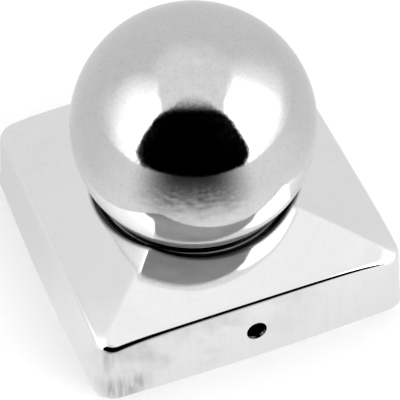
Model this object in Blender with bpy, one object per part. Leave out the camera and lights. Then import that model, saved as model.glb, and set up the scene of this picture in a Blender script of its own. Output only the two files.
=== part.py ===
"""Ball cap for a square post: a pressed sheet cap with a polished ball let into its top.

Metres, +Z up. The origin is in the middle of the opening, on the plane that the lower rim stands on.
The wall with the screw hole that shows faces -Y.
"""
import math

import bmesh
import bpy
from mathutils import Vector

MM = 0.001

# The post that the cap goes over, and the sheet
POST_WIDTH = 70.0 * MM
POST_CLEARANCE = 1.5 * MM
SHEET = 0.8 * MM

# Walls: they lean in going up, bow out along the foot and flare at the foot of each corner
WALL_HEIGHT = 15.8 * MM
WALL_LEAN = 0.65 * MM
WALL_BOW = 1.2 * MM
CORNER_RADIUS = 4.4 * MM
CORNER_FLARE = 0.35 * MM
CORNER_FLARE_HEIGHT = 3.5 * MM
CORNER_FLARE_POWER = 4
BEND_RADIUS = 1.3 * MM

# Low pyramid, and the round seat pressed into its middle: an opening, a flat ledge and a shoulder
PYRAMID_RISE = 9.45 * MM
SEAT_OPENING_DIAMETER = 39.8 * MM
SEAT_LEDGE = 1.5 * MM
SEAT_DEPTH = 8.1 * MM
SHOULDER_WIDTH = 4.1 * MM
SHOULDER_POWER = 3

# Ball, resting on the edge of the seat's opening
BALL_DIAMETER = 55.5 * MM
BALL_GAP = 0.3 * MM

# Screw holes through the front and the back wall
HOLE_DIAMETER = 4.8 * MM
HOLE_HEIGHT = 7.9 * MM

# Fineness of the facets
CORNER_STEPS = 4
SIDE_STEPS = 12
WALL_STEPS = 5
BEND_STEPS = 4
TOP_STEPS = 5
SHOULDER_STEPS = 6
BALL_SEGMENTS = 48
BALL_RINGS = 24
HOLE_SEGMENTS = 24
SHARP_ANGLE = math.radians(30)

# Sheet that is trimmed off below the rim, and the least by which a cutter overshoots
TRIM = 0.5 * MM
OVERSHOOT = 5.0 * MM

# Polished stainless steel: the cap a little duller than the ball
CAP_COLOUR = (0.70, 0.70, 0.70)
CAP_ROUGHNESS = 0.12
BALL_COLOUR = (0.72, 0.72, 0.72)
BALL_ROUGHNESS = 0.06

# Worked out from the sizes above
TOP_HALF_WIDTH = (POST_WIDTH + POST_CLEARANCE) / 2 + SHEET
FOOT_HALF_WIDTH = TOP_HALF_WIDTH + WALL_LEAN
PYRAMID_SLOPE = math.atan2(PYRAMID_RISE, TOP_HALF_WIDTH - BEND_RADIUS)
BEND_INSET = BEND_RADIUS * (1 - math.sin(PYRAMID_SLOPE))
EDGE_HALF_WIDTH = TOP_HALF_WIDTH - BEND_INSET
EDGE_HEIGHT = WALL_HEIGHT + BEND_RADIUS * math.cos(PYRAMID_SLOPE)
TIP_HEIGHT = EDGE_HEIGHT + EDGE_HALF_WIDTH * math.tan(PYRAMID_SLOPE)
SEAT_HEIGHT = TIP_HEIGHT - SEAT_DEPTH
SEAT_RADIUS = SEAT_OPENING_DIAMETER / 2 + SEAT_LEDGE
SHOULDER_RADIUS = SEAT_RADIUS + SHOULDER_WIDTH
BALL_RADIUS = BALL_DIAMETER / 2
BALL_LIFT = math.sqrt((BALL_RADIUS + BALL_GAP) ** 2 - (SEAT_OPENING_DIAMETER / 2) ** 2)
BALL_HEIGHT = SEAT_HEIGHT + BALL_LIFT


def clear_scene():
    for item in list(bpy.data.objects):
        bpy.data.objects.remove(item)


def rounded_square(half_width, corner_radius):
    """Points round a square with round corners, from the middle of the front side towards +X."""
    quarter = []
    straight = half_width - corner_radius
    half_steps = SIDE_STEPS // 2
    for step in range(half_steps):
        quarter.append(Vector((straight * step / half_steps, -half_width)))
    for step in range(CORNER_STEPS + 1):
        angle = math.radians(-90 + 90 * step / CORNER_STEPS)
        corner = Vector((math.cos(angle), math.sin(angle))) * corner_radius
        quarter.append(Vector((straight, -straight)) + corner)
    for step in range(1, half_steps):
        quarter.append(Vector((half_width, straight * (step / half_steps - 1))))
    points = []
    for turn in range(4):
        cos = round(math.cos(turn * math.pi / 2))
        sin = round(math.sin(turn * math.pi / 2))
        points += [Vector((p.x * cos - p.y * sin, p.x * sin + p.y * cos)) for p in quarter]
    return points


def circle(radius):
    """As many points as rounded_square, evenly round a circle and starting at the front too."""
    count = 4 * (SIDE_STEPS + CORNER_STEPS)
    turns = [2 * math.pi * step / count - math.pi / 2 for step in range(count)]
    return [Vector((math.cos(turn), math.sin(turn))) * radius for turn in turns]


def pyramid_height(x, y):
    return TIP_HEIGHT - max(abs(x), abs(y)) * math.tan(PYRAMID_SLOPE)


def top_height(x, y):
    """Height of the pyramid with the round seat pressed into it."""
    share = (SHOULDER_RADIUS - math.hypot(x, y)) / SHOULDER_WIDTH
    press = min(max(share, 0.0), 1.0) ** SHOULDER_POWER
    return pyramid_height(x, y) * (1 - press) + SEAT_HEIGHT * press


def wall_rings():
    """Rings up the walls, from just below the rim to the start of the bend."""
    rings = []
    for step in range(WALL_STEPS + 1):
        z = -TRIM + (WALL_HEIGHT + TRIM) * step / WALL_STEPS
        half_width = FOOT_HALF_WIDTH - WALL_LEAN * z / WALL_HEIGHT
        bow = WALL_BOW * (1 - z / WALL_HEIGHT)
        flare = CORNER_FLARE * max(0.0, 1 - z / CORNER_FLARE_HEIGHT)
        ring = []
        for p in rounded_square(half_width, CORNER_RADIUS):
            across, along = p.x / half_width, p.y / half_width
            corner = flare * (across * along) ** CORNER_FLARE_POWER
            x = p.x + across * (bow * (1 - along ** 2) + corner)
            y = p.y + along * (bow * (1 - across ** 2) + corner)
            ring.append(Vector((x, y, z)))
        rings.append(ring)
    return rings


def bend_rings():
    """Rings round the bend between the walls and the pyramid."""
    edge = rounded_square(EDGE_HALF_WIDTH, CORNER_RADIUS - BEND_INSET)
    rings = []
    for step in range(1, BEND_STEPS + 1):
        share = step / BEND_STEPS
        angle = (math.pi / 2 - PYRAMID_SLOPE) * share
        inset = BEND_RADIUS * (1 - math.cos(angle))
        height = WALL_HEIGHT + BEND_RADIUS * math.sin(angle)
        points = rounded_square(TOP_HALF_WIDTH - inset, CORNER_RADIUS - inset)
        lifts = [share * (pyramid_height(*end) - EDGE_HEIGHT) for end in edge]
        rings.append([Vector((*p, height + lift)) for p, lift in zip(points, lifts)])
    return rings


def top_rings():
    """Rings from the bend to the shoulder, down into the seat and in to its opening."""
    edge = rounded_square(EDGE_HALF_WIDTH, CORNER_RADIUS - BEND_INSET)
    outlines = []
    for step in range(1, TOP_STEPS + 1):
        share = step / TOP_STEPS
        outlines.append([a.lerp(b, share) for a, b in zip(edge, circle(SHOULDER_RADIUS))])
    for step in range(1, SHOULDER_STEPS + 1):
        outlines.append(circle(SHOULDER_RADIUS - SHOULDER_WIDTH * step / SHOULDER_STEPS))
    outlines.append(circle(SEAT_OPENING_DIAMETER / 2))
    return [[Vector((*p, top_height(*p))) for p in outline] for outline in outlines]


def make_skin(name, rings):
    """Outer skin of the sheet: a band of faces from each ring to the next."""
    mesh = bmesh.new()
    loops = [[mesh.verts.new(point) for point in ring] for ring in rings]
    for lower, upper in zip(loops, loops[1:]):
        for start, end in zip(range(-1, len(lower) - 1), range(len(lower))):
            mesh.faces.new((lower[start], lower[end], upper[end], upper[start]))
    return add_object(name, mesh)


def add_object(name, mesh):
    data = bpy.data.meshes.new(name)
    mesh.to_mesh(data)
    mesh.free()
    item = bpy.data.objects.new(name, data)
    bpy.context.scene.collection.objects.link(item)
    return item


def make_cutter(name, mesh):
    cutter = add_object(name, mesh)
    cutter.hide_render = True
    cutter.display_type = "WIRE"
    return cutter


def rim_cutter():
    """Block that trims the rim flat at the standing plane."""
    mesh = bmesh.new()
    bmesh.ops.create_cube(mesh, size=1.0)
    width = 2 * (FOOT_HALF_WIDTH + WALL_BOW + OVERSHOOT)
    bmesh.ops.scale(mesh, vec=(width, width, OVERSHOOT), verts=mesh.verts)
    bmesh.ops.translate(mesh, vec=(0, 0, -OVERSHOOT / 2), verts=mesh.verts)
    return make_cutter("rim_cutter", mesh)


def hole_cutter():
    """Rod along Y that cuts the screw hole in the front wall and the one in the back wall."""
    mesh = bmesh.new()
    length = 2 * (FOOT_HALF_WIDTH + WALL_BOW + OVERSHOOT)
    bmesh.ops.create_cone(mesh, cap_ends=True, segments=HOLE_SEGMENTS, radius1=HOLE_DIAMETER / 2,
                          radius2=HOLE_DIAMETER / 2, depth=length)
    cutter = make_cutter("hole_cutter", mesh)
    cutter.location = (0, 0, HOLE_HEIGHT)
    cutter.rotation_euler = (math.pi / 2, 0, 0)
    return cutter


def cut(item, cutter):
    modifier = item.modifiers.new(cutter.name, "BOOLEAN")
    modifier.operation = "DIFFERENCE"
    modifier.object = cutter


def shade(item):
    item.data.shade_smooth()
    item.data.set_sharp_from_angle(angle=SHARP_ANGLE)


def steel(item, colour, roughness):
    """Give the object its own polished stainless steel."""
    material = bpy.data.materials.new(item.name + "_steel")
    material.use_nodes = True
    surface = material.node_tree.nodes["Principled BSDF"]
    surface.inputs["Base Color"].default_value = (*colour, 1.0)
    surface.inputs["Metallic"].default_value = 1.0
    surface.inputs["Roughness"].default_value = roughness
    item.data.materials.append(material)


def make_base_cap():
    """The pressed cap: one sheet, open below, with a round opening for the ball."""
    cap = make_skin("base_cap", wall_rings() + bend_rings() + top_rings())
    sheet = cap.modifiers.new("sheet", "SOLIDIFY")
    sheet.thickness = SHEET
    sheet.offset = -1
    sheet.use_even_offset = True
    cut(cap, rim_cutter())
    cut(cap, hole_cutter())
    shade(cap)
    steel(cap, CAP_COLOUR, CAP_ROUGHNESS)


def make_ball():
    mesh = bmesh.new()
    bmesh.ops.create_uvsphere(mesh, u_segments=BALL_SEGMENTS, v_segments=BALL_RINGS, radius=BALL_RADIUS)
    ball = add_object("ball", mesh)
    ball.location = (0, 0, BALL_HEIGHT)
    shade(ball)
    steel(ball, BALL_COLOUR, BALL_ROUGHNESS)


def main():
    clear_scene()
    make_base_cap()
    make_ball()


main()
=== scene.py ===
"""Looks of the ball post cap: a pressed steel cap with a mirror-polished ball, in a pale light tent.

Metres, +Z up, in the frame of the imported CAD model. The wall with the screw hole that shows faces -Y.
"""
from __future__ import annotations

import logging
import math
from dataclasses import dataclass
from enum import Enum
from typing import Any, Callable, Union

import bmesh
import bpy
from mathutils import Matrix, Vector

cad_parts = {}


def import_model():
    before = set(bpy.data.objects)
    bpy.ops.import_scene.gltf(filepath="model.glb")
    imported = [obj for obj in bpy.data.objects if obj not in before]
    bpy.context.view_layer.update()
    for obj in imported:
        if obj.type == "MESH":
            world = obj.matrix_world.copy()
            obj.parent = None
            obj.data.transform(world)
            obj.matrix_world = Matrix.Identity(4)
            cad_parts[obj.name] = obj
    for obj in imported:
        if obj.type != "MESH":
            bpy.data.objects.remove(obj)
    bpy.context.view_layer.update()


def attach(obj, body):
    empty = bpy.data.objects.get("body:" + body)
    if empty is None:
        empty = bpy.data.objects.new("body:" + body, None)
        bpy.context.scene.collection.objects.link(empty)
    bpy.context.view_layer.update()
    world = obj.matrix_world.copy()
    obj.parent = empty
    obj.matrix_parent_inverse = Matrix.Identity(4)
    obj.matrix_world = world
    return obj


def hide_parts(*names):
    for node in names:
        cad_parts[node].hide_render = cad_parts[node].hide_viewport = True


LOG = logging.getLogger("ball_post_cap")
MM = 0.001
SMOOTH_ANGLE = math.radians(40)
NOT_ZERO = 0.001
Number = Union[float, "Socket"]
Span = tuple[float, float]


class Marks(Enum):
    """Which way the marks of a finish run on the object."""

    UPRIGHT = (1.0, 1.0, 0.05)
    ALL_WAYS = (1.0, 1.0, 1.0)


class Socket:
    """A shader value that can be used in a Python expression."""

    def __init__(self, nodes: "Nodes", link: Any) -> None:
        """Wrap an output socket of a node."""
        self.nodes = nodes
        self.link = link

    def _math(self, operation: str, first: Number, second: Number) -> "Socket":
        """Join two values by a Math node."""
        return self.nodes.add("ShaderNodeMath", {"operation": operation}, {0: first, 1: second})[0]

    def __add__(self, other: Number) -> "Socket":
        """Sum."""
        return self._math("ADD", self, other)

    __radd__ = __add__

    def __sub__(self, other: Number) -> "Socket":
        """Difference."""
        return self._math("SUBTRACT", self, other)

    def __rsub__(self, other: Number) -> "Socket":
        """Difference from a plain number."""
        return self._math("SUBTRACT", other, self)

    def __mul__(self, other: Number) -> "Socket":
        """Product."""
        return self._math("MULTIPLY", self, other)

    __rmul__ = __mul__

    def __truediv__(self, other: Number) -> "Socket":
        """Quotient."""
        return self._math("DIVIDE", self, other)

    def __rtruediv__(self, other: Number) -> "Socket":
        """Quotient of a plain number."""
        return self._math("DIVIDE", other, self)

    def __pow__(self, other: Number) -> "Socket":
        """Power."""
        return self._math("POWER", self, other)

    def __abs__(self) -> "Socket":
        """Size without its sign."""
        return self._math("ABSOLUTE", self, 0.0)

    def at_least(self, other: Number) -> "Socket":
        """The larger of two values."""
        return self._math("MAXIMUM", self, other)

    def ease(self, low: float, high: float, start: float = 0.0, end: float = 1.0) -> "Socket":
        """Go smoothly from one value to another while this one goes from low to high.

        Args:
            low: Value of this socket where the result starts to change.
            high: Value of this socket where the result has changed.
            start: Result up to low.
            end: Result from high on.

        Returns:
            The eased value.
        """
        settings = {"interpolation_type": "SMOOTHSTEP", "clamp": True}
        values = {"Value": self, "From Min": low, "From Max": high, "To Min": start, "To Max": end}
        return self.nodes.add("ShaderNodeMapRange", settings, values)[0]


class Nodes:
    """Node tree of a material or of the world, filled by one method."""

    def __init__(self, tree: bpy.types.NodeTree) -> None:
        """Empty the tree and keep it."""
        self.tree = tree
        tree.nodes.clear()

    def add(self, kind: str, settings: dict[str, Any] | None = None,
            values: dict[str | int, Any] | None = None) -> "NodeOutputs":
        """Add a node.

        Args:
            kind: Type name of the node.
            settings: Its own settings, set first.
            values: Numbers, colours, vectors or sockets for its inputs.

        Returns:
            Its outputs, by number or name.
        """
        node = self.tree.nodes.new(kind)
        for name, value in (settings or {}).items():
            setattr(node, name, value)
        for name, value in (values or {}).items():
            if isinstance(value, Socket):
                self.tree.links.new(value.link, node.inputs[name])
            else:
                node.inputs[name].default_value = value
        return NodeOutputs(self, node)

    def split(self, vector: Socket) -> tuple[Socket, Socket, Socket]:
        """Take a vector apart."""
        parts = self.add("ShaderNodeSeparateXYZ", None, {0: vector})
        return parts[0], parts[1], parts[2]

    def scale(self, vector: Socket, by: tuple[float, float, float]) -> Socket:
        """Multiply a vector part by part."""
        return self.add("ShaderNodeVectorMath", {"operation": "MULTIPLY"}, {0: vector, 1: by})[0]

    def offset(self, vector: Socket, by: tuple[float, float, float] | Socket) -> Socket:
        """Add a vector."""
        return self.add("ShaderNodeVectorMath", {"operation": "ADD"}, {0: vector, 1: by})[0]

    def dot(self, vector: Socket, axis: tuple[float, float, float]) -> Socket:
        """Length of a vector along an axis."""
        return self.add("ShaderNodeVectorMath", {"operation": "DOT_PRODUCT"}, {0: vector, 1: axis})["Value"]

    def noise(self, place: Socket, size: float, detail: float = 2.0, rough: float = 0.5) -> Socket:
        """Noise from 0 to 1.

        Args:
            place: Vector that the noise is read at, in metres.
            size: Size of its largest patches, in metres.
            detail: How many finer layers it has.
            rough: How strong the finer layers are.

        Returns:
            The value of the noise.
        """
        values = {"Vector": place, "Scale": 1.0 / size, "Detail": detail, "Roughness": rough}
        return self.add("ShaderNodeTexNoise", None, values)[0]

    def blend(self, share: Number, first: Number, second: Number) -> Socket:
        """Go from one number to another."""
        return self.add("ShaderNodeMix", {"data_type": "FLOAT"}, {0: share, 2: first, 3: second})[0]

    def grey(self, value: Number) -> Socket:
        """Make a number a grey colour."""
        return self.add("ShaderNodeCombineColor", None, {0: value, 1: value, 2: value})[0]


class NodeOutputs:
    """Outputs of one node."""

    def __init__(self, nodes: Nodes, node: bpy.types.Node) -> None:
        """Keep the node."""
        self.nodes = nodes
        self.node = node

    def __getitem__(self, name: str | int) -> Socket:
        """One output as a socket that can be used in expressions."""
        return Socket(self.nodes, self.node.outputs[name])


@dataclass(frozen=True)
class PolishedSteel:
    """Stainless steel polished on a mop: fine marks in the gloss, faint waves and a little haze."""

    name: str
    colour: tuple[float, float, float]
    tint: float
    gloss: float
    haze: float
    mark_size: float
    mark_depth: float
    wave_size: float
    wave_depth: float
    marks: Marks
    line_span: Span = (0.45, 0.75)
    line_haze: float = 0.55
    line_tint: float = 0.5
    cloud_size: float = 0.45
    cloud_span: Span = (0.35, 0.75)
    burr_place: tuple[float, float, float] | None = None
    burr_reach: float = 8.0 * MM
    burr_shape: tuple[float, float, float] = (1.0, 0.6, 1.6)
    burr_streak: float = 1.3 * MM
    burr_span: Span = (0.25, 0.75)
    burr_haze: float = 0.12
    burr_shade: float = 0.55
    burr_depth: float = 0.000006
    film_height: float = 0.0
    film_reach: float = 9.0 * MM
    film_foot: float = 0.0
    film_edge: float = 2.0 * MM
    film: float = 0.0
    film_patch_size: float = 7.0 * MM
    film_patches: float = 0.56
    # Painted shade: a dark ring in the steel's colour round the seat, where the gap between the cap and the
    # ball lies in shade; a thin band at the bead is left out of it and made less metallic.
    groove_edge: float = 0.0
    groove_shade_end: float = 0.0
    bead_span: Span = (0.35 * MM, 0.75 * MM)
    bead_dullness: float = 0.9
    groove_shade_strength: float = 0.94
    groove_shade_span: Span = (-0.9 * MM, 0.3 * MM)

    def material(self) -> bpy.types.Material:
        """Make the material.

        Returns:
            The steel, ready for a piece.
        """
        material = bpy.data.materials.new(self.name)
        material.use_nodes = True
        nodes = Nodes(material.node_tree)
        place = nodes.add("ShaderNodeTexCoord")["Object"]
        drawn = nodes.scale(place, self.marks.value)
        fine = nodes.noise(drawn, self.mark_size, 4.0, 0.65)
        broad = nodes.noise(place, self.wave_size, 2.0, 0.5)
        cloud = nodes.noise(place, self.wave_size * self.cloud_size, 3.0, 0.6)
        lines = fine.ease(*self.line_span)
        hazy = self.line_haze * lines + (1.0 - self.line_haze) * cloud.ease(*self.cloud_span)
        rough = self.gloss + self.haze * hazy
        tone = 1.0 - self.tint * (self.line_tint * lines + (1.0 - self.line_tint) * cloud)
        height = self.mark_depth * fine + self.wave_depth * broad
        bare: Number = 1.0
        if self.film > 0.0:
            upright = nodes.split(place)[2]
            below = upright.ease(self.film_height - self.film_reach, self.film_height, self.film, 0.0)
            band = below * upright.ease(self.film_foot, self.film_foot + self.film_edge)
            patches = self.film_patches * (nodes.noise(drawn, self.film_patch_size, 3.0, 0.6) - 0.5)
            bare = 1.0 - band * (1.0 + patches)
        # Painted shade: darken the colour in a ring round the seat, where the narrow gap between the cap and
        # the ball is in shade; the thin band at the bead stays out of it and is made less metallic.
        if self.groove_shade_end > 0.0:
            x, y, _ = nodes.split(place)
            away = (x * x + y * y) ** 0.5
            bead_band = abs(away - self.groove_edge).ease(*self.bead_span, 1.0, 0.0)
            dark = (away - self.groove_shade_end).ease(*self.groove_shade_span, 1.0, 0.0) * (1.0 - bead_band)
            tone = tone * (1.0 - self.groove_shade_strength * dark)
            bare = bare - self.bead_dullness * bead_band
        if self.burr_place is not None:
            near = self._burr(nodes, place)
            streak = nodes.noise(nodes.scale(place, Marks.UPRIGHT.value), self.burr_streak, 3.0, 0.6)
            rough = rough + self.burr_haze * near * streak
            tone = tone * (1.0 - self.burr_shade * near * streak.ease(*self.burr_span))
            height = height + self.burr_depth * near * streak
        colour = nodes.add("ShaderNodeMix", {"data_type": "RGBA", "blend_type": "MULTIPLY"},
                           {0: 1.0, 6: (*self.colour, 1.0), 7: nodes.grey(tone)})[2]
        bump = nodes.add("ShaderNodeBump", None, {"Strength": 1.0, "Distance": 1.0, "Height": height})[0]
        shader = nodes.add("ShaderNodeBsdfPrincipled", None,
                           {"Base Color": colour, "Roughness": rough, "Metallic": bare, "Normal": bump})[0]
        nodes.add("ShaderNodeOutputMaterial", None, {"Surface": shader})
        return material

    def _burr(self, nodes: Nodes, place: Socket) -> Socket:
        """Mask of the scuffed patch low on the wall.

        Args:
            nodes: Node tree of the material.
            place: Place on the object.

        Returns:
            1 in the patch, 0 away from it.
        """
        middle = tuple(-part for part in self.burr_place)
        shifted = nodes.scale(nodes.offset(place, middle), self.burr_shape)
        away = nodes.add("ShaderNodeVectorMath", {"operation": "LENGTH"}, {0: shifted})["Value"]
        return away.ease(self.burr_reach / 4, self.burr_reach, 1.0, 0.0)


def deselect() -> None:
    """Leave nothing selected."""
    if bpy.context.mode != "OBJECT":
        bpy.ops.object.mode_set(mode="OBJECT")
    bpy.ops.object.select_all(action="DESELECT")


def added(name: str, operator: Callable[..., Any], **sizes: Any) -> bpy.types.Object:
    """Add a primitive by its operator.

    Args:
        name: Name of the new object.
        operator: The operator that adds it.
        **sizes: What the operator is given.

    Returns:
        The new object, active and alone in being selected.
    """
    deselect()
    operator(**sizes)
    item = bpy.context.view_layer.objects.active
    item.name = item.data.name = name
    return item


def apply_place(item: bpy.types.Object) -> None:
    """Put an object's place, turn and scale into its mesh."""
    deselect()
    item.select_set(True)
    bpy.context.view_layer.objects.active = item
    bpy.ops.object.transform_apply(location=True, rotation=True, scale=True)


def finish_modifier(item: bpy.types.Object, name: str, kind: str, **settings: Any) -> None:
    """Add a modifier and apply it.

    Args:
        item: The object.
        name: Name of the modifier.
        kind: Its type.
        **settings: Its settings.
    """
    deselect()
    item.select_set(True)
    bpy.context.view_layer.objects.active = item
    modifier = item.modifiers.new(name, kind)
    for key, value in settings.items():
        setattr(modifier, key, value)
    bpy.ops.object.modifier_apply(modifier=modifier.name)


@dataclass
class BaseCap:
    """The pressed cap: bowed walls, a tight bend, a low pyramid and the round seat for the ball."""

    post_width: float = 70.0 * MM
    post_clearance: float = 1.5 * MM
    sheet: float = 0.8 * MM
    wall_height: float = 15.8 * MM
    wall_lean: float = 0.65 * MM
    wall_bow: float = 1.2 * MM
    corner_radius: float = 4.4 * MM
    corner_flare: float = 0.35 * MM
    corner_flare_height: float = 3.5 * MM
    corner_flare_power: int = 4
    bend_radius: float = 1.3 * MM
    pyramid_rise: float = 9.45 * MM
    ridge_softness: float = 0.7 * MM
    seat_opening: float = 39.8 * MM
    seat_ledge: float = 1.5 * MM
    seat_depth: float = 8.1 * MM
    bead_height: float = 0.45 * MM
    bead_width: float = 0.40 * MM
    shoulder_width: float = 4.1 * MM
    shoulder_power: float = 3.0
    hole_diameter: float = 4.8 * MM
    hole_height: float = 7.9 * MM
    corner_steps: int = 16
    side_steps: int = 56
    wall_steps: int = 22
    bend_steps: int = 10
    top_steps: int = 18
    shoulder_steps: int = 18
    ledge_steps: int = 8
    hole_segments: int = 64
    corner_drop: float = 2.4 * MM
    corner_drop_power: float = 6.0

    def __post_init__(self) -> None:
        """Work out the sizes that follow from the others."""
        self.top_half = (self.post_width + self.post_clearance) / 2 + self.sheet
        self.foot_half = self.top_half + self.wall_lean
        self.slope = math.atan2(self.pyramid_rise, self.top_half - self.bend_radius)
        self.bend_inset = self.bend_radius * (1 - math.sin(self.slope))
        self.edge_half = self.top_half - self.bend_inset
        self.edge_height = self.wall_height + self.bend_radius * math.cos(self.slope)
        self.tip_height = self.edge_height + self.edge_half * math.tan(self.slope)
        self.seat_height = self.tip_height - self.seat_depth
        self.seat_radius = self.seat_opening / 2 + self.seat_ledge
        self.shoulder_radius = self.seat_radius + self.shoulder_width

    def rounded_square(self, half: float, radius: float) -> list[Vector]:
        """Points round a square with round corners.

        Args:
            half: Half the width of the square.
            radius: Radius of its corners.

        Returns:
            The points, from the middle of the front side towards +X.
        """
        straight = half - radius
        half_steps = self.side_steps // 2
        quarter = [Vector((straight * step / half_steps, -half)) for step in range(half_steps)]
        for step in range(self.corner_steps + 1):
            angle = math.radians(-90 + 90 * step / self.corner_steps)
            corner = Vector((math.cos(angle), math.sin(angle))) * radius
            quarter.append(Vector((straight, -straight)) + corner)
        quarter += [Vector((half, straight * (step / half_steps - 1))) for step in range(1, half_steps)]
        turns = [Matrix.Rotation(math.radians(90 * turn), 2) for turn in range(4)]
        return [turn @ point for turn in turns for point in quarter]

    def circle(self, radius: float) -> list[Vector]:
        """Points round a circle, as many as round the square and from the same side."""
        count = 4 * (self.side_steps + self.corner_steps)
        turns = [2 * math.pi * step / count - math.pi / 2 for step in range(count)]
        return [Vector((math.cos(turn), math.sin(turn))) * radius for turn in turns]

    def pyramid_height(self, x: float, y: float) -> float:
        """Height of the pyramid, with its ridges a little rounded."""
        across, along = abs(x), abs(y)
        spread = math.hypot(across - along, self.ridge_softness)
        return self.tip_height - (across + along + spread) / 2 * math.tan(self.slope)

    def top_height(self, x: float, y: float) -> float:
        """Height of the pyramid with the round seat pressed into it and the fine bead round the seat."""
        share = (self.shoulder_radius - math.hypot(x, y)) / self.shoulder_width
        press = min(max(share, 0.0), 1.0) ** self.shoulder_power
        beside = (math.hypot(x, y) - self.seat_radius) / self.bead_width
        bead = self.bead_height * math.exp(-beside ** 2)
        return self.pyramid_height(x, y) * (1 - press) + self.seat_height * press + bead

    def wall_ring(self, z: float) -> list[Vector]:
        """Points round the walls at one height.

        Args:
            z: The height.

        Returns:
            The points: the wall leans in going up, and bows and flares at the foot.
        """
        half = self.foot_half - self.wall_lean * z / self.wall_height
        bow = self.wall_bow * (1 - z / self.wall_height)
        flare = self.corner_flare * max(0.0, 1 - z / self.corner_flare_height)
        ring = []
        for point in self.rounded_square(half, self.corner_radius):
            across, along = point.x / half, point.y / half
            corner = flare * (across * along) ** self.corner_flare_power
            x = point.x + across * (bow * (1 - along ** 2) + corner)
            y = point.y + along * (bow * (1 - across ** 2) + corner)
            ring.append(Vector((x, y, z)))
        return ring

    def bend_ring(self, share: float, edge: list[Vector]) -> list[Vector]:
        """Points round the bend between the walls and the pyramid.

        Args:
            share: How far round the bend, from 0 at the walls to 1 at the pyramid.
            edge: Outline where the pyramid starts.

        Returns:
            The points.
        """
        angle = (math.pi / 2 - self.slope) * share
        inset = self.bend_radius * (1 - math.cos(angle))
        height = self.wall_height + self.bend_radius * math.sin(angle)
        points = self.rounded_square(self.top_half - inset, self.corner_radius - inset)
        lifts = [share * (self.pyramid_height(*end) - self.edge_height) for end in edge]
        return [Vector((*point, height + lift)) for point, lift in zip(points, lifts)]

    def rings(self) -> list[list[Vector]]:
        """Rings of the outer skin, from the rim to the opening under the ball."""
        edge = self.rounded_square(self.edge_half, self.corner_radius - self.bend_inset)
        round_outline = self.circle(self.shoulder_radius)
        rings = [self.wall_ring(self.wall_height * step / self.wall_steps)
                 for step in range(self.wall_steps + 1)]
        rings += [self.bend_ring(step / self.bend_steps, edge) for step in range(1, self.bend_steps + 1)]
        outlines = [[a.lerp(b, step / self.top_steps) for a, b in zip(edge, round_outline)]
                    for step in range(1, self.top_steps + 1)]
        outlines += [self.circle(self.shoulder_radius - self.shoulder_width * step / self.shoulder_steps)
                     for step in range(1, self.shoulder_steps + 1)]
        outlines += [self.circle(self.seat_radius - self.seat_ledge * step / self.ledge_steps)
                     for step in range(1, self.ledge_steps + 1)]
        rings += [[Vector((*p, self.top_height(*p))) for p in outline] for outline in outlines]
        return [[self.dropped(point) for point in ring] for ring in rings]

    def dropped(self, point: Vector) -> Vector:
        """Round the top of the four corners off.

        Args:
            point: A point of the skin.

        Returns:
            The point, lower near a corner of the top.
        """
        near = (abs(point.x * point.y) / self.top_half ** 2) ** self.corner_drop_power
        share = min(point.z / self.wall_height, 1.0) ** 2
        return point - Vector((0.0, 0.0, self.corner_drop * near * share))

    def skin(self) -> bpy.types.Object:
        """Draw the outer skin: a round blank's edge is extruded ring by ring and laid on the cap's shape.

        Returns:
            The skin, without thickness.
        """
        rings = self.rings()
        count = len(rings[0])
        item = added("base_cap_polished", bpy.ops.mesh.primitive_circle_add, vertices=count,
                     radius=self.foot_half, fill_type="NOTHING")
        bpy.ops.object.mode_set(mode="EDIT")
        bpy.ops.mesh.select_all(action="SELECT")
        for _ in rings[1:]:
            bpy.ops.mesh.extrude_edges_move()
        mesh = bmesh.from_edit_mesh(item.data)
        mesh.verts.ensure_lookup_table()
        self.lay(mesh, rings)
        bmesh.update_edit_mesh(item.data)
        bpy.ops.mesh.select_all(action="SELECT")
        bpy.ops.mesh.normals_make_consistent(inside=False)
        bpy.ops.object.mode_set(mode="OBJECT")
        return item

    @staticmethod
    def lay(mesh: bmesh.types.BMesh, rings: list[list[Vector]]) -> None:
        """Lay the extruded loops on the rings of the cap.

        Args:
            mesh: The extruded tube, with its loops still in one place.
            rings: The rings, from the rim inwards.
        """
        loop = [mesh.verts[0]]
        first = [edge for edge in loop[0].link_edges if edge.other_vert(loop[0]).index < len(rings[0])]
        edge = first[0]
        while len(loop) < len(rings[0]):
            loop.append(edge.other_vert(loop[-1]))
            edge = next(e for e in loop[-1].link_edges
                        if e is not edge and e.other_vert(loop[-1]).index < len(rings[0]))
        placed = set(loop)
        for ring, following in zip(rings, rings[1:] + [None]):
            for vert, point in zip(loop, ring):
                vert.co = point
            if following is None:
                break
            upper = [next(e.other_vert(vert) for e in vert.link_edges if e.other_vert(vert) not in placed)
                     for vert in loop]
            placed.update(upper)
            loop = upper

    def hole_rod(self) -> bpy.types.Object:
        """Make the rod along Y that drills the screw holes of the front and the back wall."""
        rod = added("hole_rod", bpy.ops.mesh.primitive_cylinder_add, vertices=self.hole_segments,
                    radius=self.hole_diameter / 2, depth=3 * self.foot_half,
                    location=(0, 0, self.hole_height), rotation=(math.pi / 2, 0, 0))
        apply_place(rod)
        return rod

    def flatten_rim(self, item: bpy.types.Object) -> None:
        """Grind the rim flat on the plane that it stands on."""
        for vert in item.data.vertices:
            if vert.co.z < self.sheet / 2:
                vert.co.z = 0.0

    def build(self, finish: PolishedSteel) -> bpy.types.Object:
        """Make and dress the cap.

        Args:
            finish: Its steel.

        Returns:
            The finished cap.
        """
        item = self.skin()
        finish_modifier(item, "sheet", "SOLIDIFY", thickness=self.sheet, offset=-1, use_even_offset=True)
        self.flatten_rim(item)
        rod = self.hole_rod()
        finish_modifier(item, "screw holes", "BOOLEAN", operation="DIFFERENCE", object=rod)
        bpy.data.objects.remove(rod)
        deselect()
        item.select_set(True)
        bpy.context.view_layer.objects.active = item
        bpy.ops.object.shade_smooth_by_angle(angle=SMOOTH_ANGLE)
        item.data.materials.clear()
        item.data.materials.append(finish.material())
        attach(item, "root")
        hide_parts("base_cap")
        return item


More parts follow.
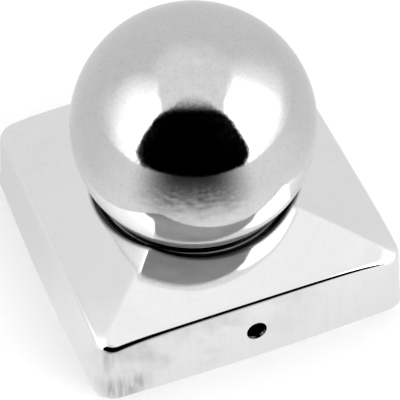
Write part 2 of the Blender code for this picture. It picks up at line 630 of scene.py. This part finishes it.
@dataclass
class Ball:
    """The polished ball, with the flat under it that its weld sits on."""

    diameter: float = 55.5 * MM
    gap: float = 0.3 * MM
    cuts: int = 63
    weld_flat: float = 9.0 * MM
    weld_step: float = 0.4 * MM

    def height(self, cap: BaseCap) -> float:
        """Height of the ball's middle where it rests on the edge of the seat's opening.

        Args:
            cap: The cap that carries it.

        Returns:
            The height.
        """
        return cap.seat_height + math.sqrt((self.diameter / 2 + self.gap) ** 2 - (cap.seat_opening / 2) ** 2)

    def build(self, cap: BaseCap, finish: PolishedSteel) -> bpy.types.Object:
        """Make and dress the ball.

        Args:
            cap: The cap that carries it.
            finish: Its steel.

        Returns:
            The finished ball.
        """
        radius = self.diameter / 2
        item = added("ball_polished", bpy.ops.mesh.primitive_cube_add, size=self.diameter)
        bpy.ops.object.mode_set(mode="EDIT")
        bpy.ops.mesh.select_all(action="SELECT")
        bpy.ops.mesh.subdivide(number_cuts=self.cuts)
        bpy.ops.transform.tosphere(value=1.0)
        mesh = bmesh.from_edit_mesh(item.data)
        for vert in mesh.verts:
            vert.co = vert.co.normalized() * radius
        bmesh.update_edit_mesh(item.data)
        self.weld(item)
        bpy.ops.object.mode_set(mode="OBJECT")
        item.location = (0, 0, self.height(cap))
        apply_place(item)
        bpy.ops.object.shade_smooth_by_angle(angle=SMOOTH_ANGLE)
        item.data.materials.clear()
        item.data.materials.append(finish.material())
        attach(item, "root")
        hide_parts("ball")
        return item

    def weld(self, item: bpy.types.Object) -> None:
        """Press a flat into the ball's underside, where it is welded from inside the cap.

        Args:
            item: The ball, in edit mode.
        """
        bpy.ops.mesh.select_all(action="DESELECT")
        bpy.ops.mesh.select_mode(type="FACE")
        mesh = bmesh.from_edit_mesh(item.data)
        for face in mesh.faces:
            middle = face.calc_center_median()
            if middle.z < 0 and math.hypot(middle.x, middle.y) < self.weld_flat / 2:
                face.select = True
        bmesh.update_edit_mesh(item.data)
        bpy.ops.mesh.inset(thickness=self.weld_step / 2, depth=-self.weld_step)


@dataclass
class LightTent:
    """White table, soft boxes at both sides and the dark room in front, as the steel mirrors them.

    Levels are brightness with white paper as 1. The box and side spans are cosines of the angle from the
    back. The glow and roof front spans are places on the ball, as on_ball gives them, and the dark and
    fringe ones are slopes seen from the ball towards the dark room.
    """

    floor_size: float = 3.0
    floor_shade: float = 0.93
    floor_light: float = 0.07
    white: float = 1.10
    back_azimuth: float = 80.0
    back_level: float = 0.78
    side_level: float = 0.80
    side_span: Span = (-0.35, 0.65)
    box_level: float = 1.80
    box_span: Span = (-0.65, 0.15)
    box_foot: float = 0.24
    box_foot_share: float = 0.25
    glow_level: float = 2.0
    glow_inner: Span = (0.235, 0.275)
    glow_outer: Span = (0.40, 0.92)
    glow_upper: Span = (0.0, 0.72)
    roof_level: float = 0.98
    roof_height: float = 0.83
    roof_edge: float = 0.03
    roof_edge_behind: float = 0.12
    roof_front: Span = (0.35, 0.60)
    fold_size: float = 0.20
    fold_depth: float = 0.10
    fold_edge: float = 0.02
    dark_azimuth: float = -112.0
    view_slope: float = 49.0
    dark_half: float = 1.30
    dark_lean: float = 0.11
    dark_cut: float = 1.0
    dark_cut_slope: float = 1.26
    dark_cut_share: float = 0.62
    dark_low: float = -0.16
    dark_high: float = 1.80
    dark_round: float = 0.55
    dark_facing: Span = (0.0, 0.06)
    fringe_edge: float = 0.05
    fringe_haze: float = 0.35
    fringe_streaks: float = 2.4
    fringe_up: Span = (1.1, 1.9)
    fringe_across: Span = (0.4, 1.0)
    fringe_side: float = 0.1
    fringe_span: Span = (-0.15, 1.0)
    streak_size: float = 0.012
    streak_span: Span = (0.36, 0.66)
    skirt_level: float = 0.03
    skirt_across: Span = (0.62, 0.99)
    skirt_fall: Span = (0.03, 0.9)
    grain_size: float = 14.0 * MM
    grain_share: float = 0.8
    ball_height: float = 38.0 * MM
    foot_half: float = 37.0 * MM
    # Painted shade on the floor under the cap and close to its foot.
    contact_span: Span = (-2.5 * MM, -1.2 * MM)
    contact_reach: float = 25.0 * MM
    contact_level: float = 0.9

    def build(self) -> None:
        """Lay the floor and light the tent."""
        self.floor()
        self.world()

    def floor(self) -> None:
        """Lay the pale floor, which the steel mirrors in the levels of the tent."""
        item = added("floor", bpy.ops.mesh.primitive_plane_add, size=self.floor_size)
        material = bpy.data.materials.new("pale_floor")
        material.use_nodes = True
        nodes = Nodes(material.node_tree)
        # The floor's colour is painted dark under the cap: painted shade, which keeps the inside of the cap
        # black.
        shade = nodes.grey(self.floor_shade * self.outside(nodes).ease(0.0, 0.5))
        seen = nodes.add("ShaderNodeBsdfPrincipled", None,
                         {"Base Color": shade, "Roughness": 0.9, "Specular IOR Level": 0.0})[0]
        glow = nodes.add("ShaderNodeEmission", None, {"Color": nodes.grey(self.mirrored_floor(nodes))})[0]
        path = nodes.add("ShaderNodeLightPath")
        both = nodes.add("ShaderNodeMixShader", None, {0: path["Is Glossy Ray"], 1: seen, 2: glow})[0]
        nodes.add("ShaderNodeOutputMaterial", None, {"Surface": both})
        item.data.materials.append(material)

    def mirrored_floor(self, nodes: Nodes) -> Socket:
        """Level of the floor in the steel.

        Args:
            nodes: Node tree of the floor.

        Returns:
            The level that the floor emits to glossy rays, with painted shade: dim in front, where the camera
            stands, dark under the cap and a little darker close by.
        """
        place = nodes.add("ShaderNodeTexCoord")["Object"]
        x, y, _ = nodes.split(place)
        away = ((x * x + y * y) ** 0.5).at_least(NOT_ZERO)
        behind = nodes.dot(place, self.heading(self.back_azimuth)) / away
        level = self.round_level(behind, self.floor_light)
        ahead = nodes.dot(place, self.heading(self.dark_azimuth)) / away
        grain = nodes.noise(nodes.scale(place, (1.0, 1.0, 0.0)), self.grain_size, 3.0, 0.7)
        fall = self.ball_height / away + self.grain_share * (grain - 0.5)
        # Painted shade: the mirrored floor is dimmed in front, where the camera stands, and under and beside
        # the cap.
        skirt = ahead.ease(*self.skirt_across) * fall.ease(*self.skirt_fall, 1.0, 0.0)
        return level * (1.0 - (1.0 - self.skirt_level) * skirt) * self.outside(nodes)

    def outside(self, nodes: Nodes) -> Socket:
        """Mask of the painted shade on the floor: 0 under the cap, 1 away from it, and a little less close
        by.
        """
        x, y, _ = nodes.split(nodes.add("ShaderNodeTexCoord")["Object"])
        away = abs(x).at_least(abs(y))
        past = away - self.foot_half
        return past.ease(*self.contact_span) * past.ease(0.0, self.contact_reach, self.contact_level, 1.0)

    @staticmethod
    def heading(azimuth: float) -> tuple[float, float, float]:
        """Level direction at an angle in degrees from +X towards +Y."""
        return math.cos(math.radians(azimuth)), math.sin(math.radians(azimuth)), 0.0

    def round_level(self, behind: Socket, share: float) -> Socket:
        """Level round the tent, from the back to the soft boxes at both sides.

        Args:
            behind: 1 towards the back, -1 towards the front.
            share: How much of the soft boxes' light there is.

        Returns:
            The level.
        """
        side = behind.ease(*self.side_span, self.side_level * share, 0.0)
        box = behind.ease(*self.box_span, self.box_level * share, 0.0)
        return self.back_level + side + box

    def world(self) -> None:
        """Light the tent from all round."""
        world = bpy.data.worlds.new("light_tent")
        world.use_nodes = True
        bpy.context.scene.world = world
        nodes = Nodes(world.node_tree)
        way = nodes.add("ShaderNodeTexCoord")["Generated"]
        level = self.tent(nodes, way) * self.dark_room(nodes, way)
        path = nodes.add("ShaderNodeLightPath")
        lit = nodes.blend(path["Is Camera Ray"], level, self.white)
        lit = nodes.blend(path["Is Diffuse Ray"], lit, self.white)
        shader = nodes.add("ShaderNodeBackground", None, {"Color": nodes.grey(lit), "Strength": 1.0})[0]
        nodes.add("ShaderNodeOutputWorld", None, {"Surface": shader})

    def tent(self, nodes: Nodes, way: Socket) -> Socket:
        """Level of the tent's cloth and soft boxes.

        Args:
            nodes: Node tree of the world.
            way: Direction that is looked in.

        Returns:
            The level.
        """
        x, y, z = nodes.split(way)
        flat = ((x * x + y * y) ** 0.5).at_least(NOT_ZERO)
        behind = nodes.dot(way, self.heading(self.back_azimuth)) / flat
        folds = nodes.noise(nodes.scale(way, (1.0, 1.0, 0.35)), self.fold_size, 3.0, 0.55) - 0.5
        roof = self.roof_level + 2.0 * self.fold_depth * folds
        edge = self.roof_edge + self.roof_edge_behind * behind.at_least(0.0)
        under = ((z - self.roof_height + self.fold_edge * folds) / edge).ease(-1.0, 1.0, 1.0, 0.0)
        aside, rise = self.on_ball(nodes, way)
        beside = aside.ease(*self.glow_inner)
        under = under * (1.0 - (1.0 - beside) * rise.ease(*self.roof_front, 1.0, 0.0))
        glow = beside * aside.ease(*self.glow_outer, 1.0, 0.0) * rise.ease(*self.glow_upper, 1.0, 0.0)
        share = z.ease(0.0, self.box_foot, self.box_foot_share, 1.0)
        walls = self.back_level + (self.round_level(behind, 1.0) - self.back_level) * share
        level = roof + (walls - roof) * under + self.fold_depth * folds
        return level.at_least(self.glow_level * glow)

    def on_ball(self, nodes: Nodes, way: Socket) -> tuple[Socket, Socket]:
        """Where the ball shows a direction, seen from the dark opening, with its radius as 1.

        Args:
            nodes: Node tree of the world.
            way: Direction that is looked in.

        Returns:
            How far from the ball's upright middle line, and how far above its level one.
        """
        front = self.heading(self.dark_azimuth)
        low, high = math.cos(math.radians(self.view_slope)), math.sin(math.radians(self.view_slope))
        spread = (2.0 * nodes.dot(way, (low * front[0], low * front[1], high)) + 2.0).at_least(0.05) ** 0.5
        aside = abs(nodes.dot(way, (-front[1], front[0], 0.0)) / spread)
        rise = nodes.dot(way, (-high * front[0], -high * front[1], low)) / spread
        return aside, rise

    def dark_room(self, nodes: Nodes, way: Socket) -> Socket:
        """The dark opening that the camera looks through.

        Args:
            nodes: Node tree of the world.
            way: Direction that is looked in.

        Returns:
            0 in the opening, 1 away from it.
        """
        front = self.heading(self.dark_azimuth)
        facing = nodes.dot(way, front)
        ahead = facing.at_least(NOT_ZERO)
        across = abs(nodes.dot(way, (-front[1], front[0], 0.0)) / ahead)
        up = nodes.dot(way, (0.0, 0.0, 1.0)) / ahead
        middle = (self.dark_low + self.dark_high) / 2
        half = (self.dark_high - self.dark_low) / 2
        out = (across + self.dark_lean * up - (self.dark_half - self.dark_round)).at_least(0.0)
        over = (abs(up - middle) - (half - self.dark_round)).at_least(0.0)
        away = (out * out + over * over) ** 0.5 - self.dark_round
        away = away.at_least(self.dark_cut_share * (across - self.dark_cut_slope * up - self.dark_cut))
        drawn = nodes.scale(way, Marks.UPRIGHT.value)
        streaks = nodes.noise(drawn, self.streak_size, 2.0, 0.6).ease(*self.streak_span)
        upper = up.ease(*self.fringe_up) * across.ease(*self.fringe_across, 1.0, self.fringe_side)
        fringe = self.fringe_edge + (self.fringe_haze + self.fringe_streaks * streaks) * upper
        shade = (away / fringe).ease(*self.fringe_span)
        return 1.0 - facing.ease(*self.dark_facing) * (1.0 - shade)


@dataclass
class Camera:
    """The camera, at the photograph's viewing angle."""

    image: float = 400.0
    sensor: float = 36.0
    focal_pixels: float = 2222.0365
    elevation: float = 49.0561
    azimuth: float = 21.1118
    roll: float = -0.8553
    right_shift: float = 0.0147
    up_shift: float = 0.1107
    distance: float = 7.0653
    unit: float = 74.4 * MM
    clip_start: float = 10.0 * MM

    def build(self) -> None:
        """Set up the camera."""
        e, a, r = (math.radians(angle) for angle in (self.elevation, self.azimuth, self.roll))
        back = Vector((-math.sin(a) * math.cos(e), -math.cos(a) * math.cos(e), math.sin(e)))
        level_right = Vector((math.cos(a), -math.sin(a), 0.0))
        level_up = back.cross(level_right)
        right = math.cos(r) * level_right + math.sin(r) * level_up
        up = -math.sin(r) * level_right + math.cos(r) * level_up
        place = (back * self.distance + right * self.right_shift + up * self.up_shift) * self.unit
        bpy.ops.object.camera_add()
        camera = bpy.context.view_layer.objects.active
        camera.data.sensor_width = self.sensor
        camera.data.lens = self.focal_pixels / self.image * self.sensor
        camera.data.clip_start = self.clip_start
        camera.matrix_world = Matrix.Translation(place) @ Matrix((right, up, back)).transposed().to_4x4()
        bpy.context.scene.camera = camera


CAP_STEEL = PolishedSteel(
    name="cap_polished_steel", colour=(0.90, 0.90, 0.905), tint=0.06, gloss=0.045, haze=0.05,
    mark_size=1.2 * MM, mark_depth=0.0000025, wave_size=22.0 * MM, wave_depth=0.00012,
    marks=Marks.UPRIGHT, burr_place=(-31.5 * MM, -37.5 * MM, 3.0 * MM),
    groove_edge=21.5 * MM, groove_shade_end=24.7 * MM)
BALL_STEEL = PolishedSteel(
    name="ball_polished_steel", colour=(0.70, 0.70, 0.705), tint=0.22, gloss=0.03, haze=0.12,
    mark_size=0.7 * MM, mark_depth=0.0000090, wave_size=30.0 * MM, wave_depth=0.00002,
    marks=Marks.ALL_WAYS, film_height=44.0 * MM, film_foot=21.8 * MM, film=0.42)


def main() -> None:
    """Build the pieces in order and report each."""
    logging.basicConfig(level=logging.INFO, format="%(name)s: %(message)s")
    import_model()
    scene = bpy.context.scene
    scene.view_settings.view_transform = "Standard"
    Camera().build()
    LightTent().build()
    cap = BaseCap()
    for piece in (cap.build(CAP_STEEL), Ball().build(cap, BALL_STEEL)):
        LOG.info("%s: %d faces, %s", piece.name, len(piece.data.polygons),
                 tuple(round(side / MM, 2) for side in piece.dimensions))


if __name__ == "__main__":
    main()
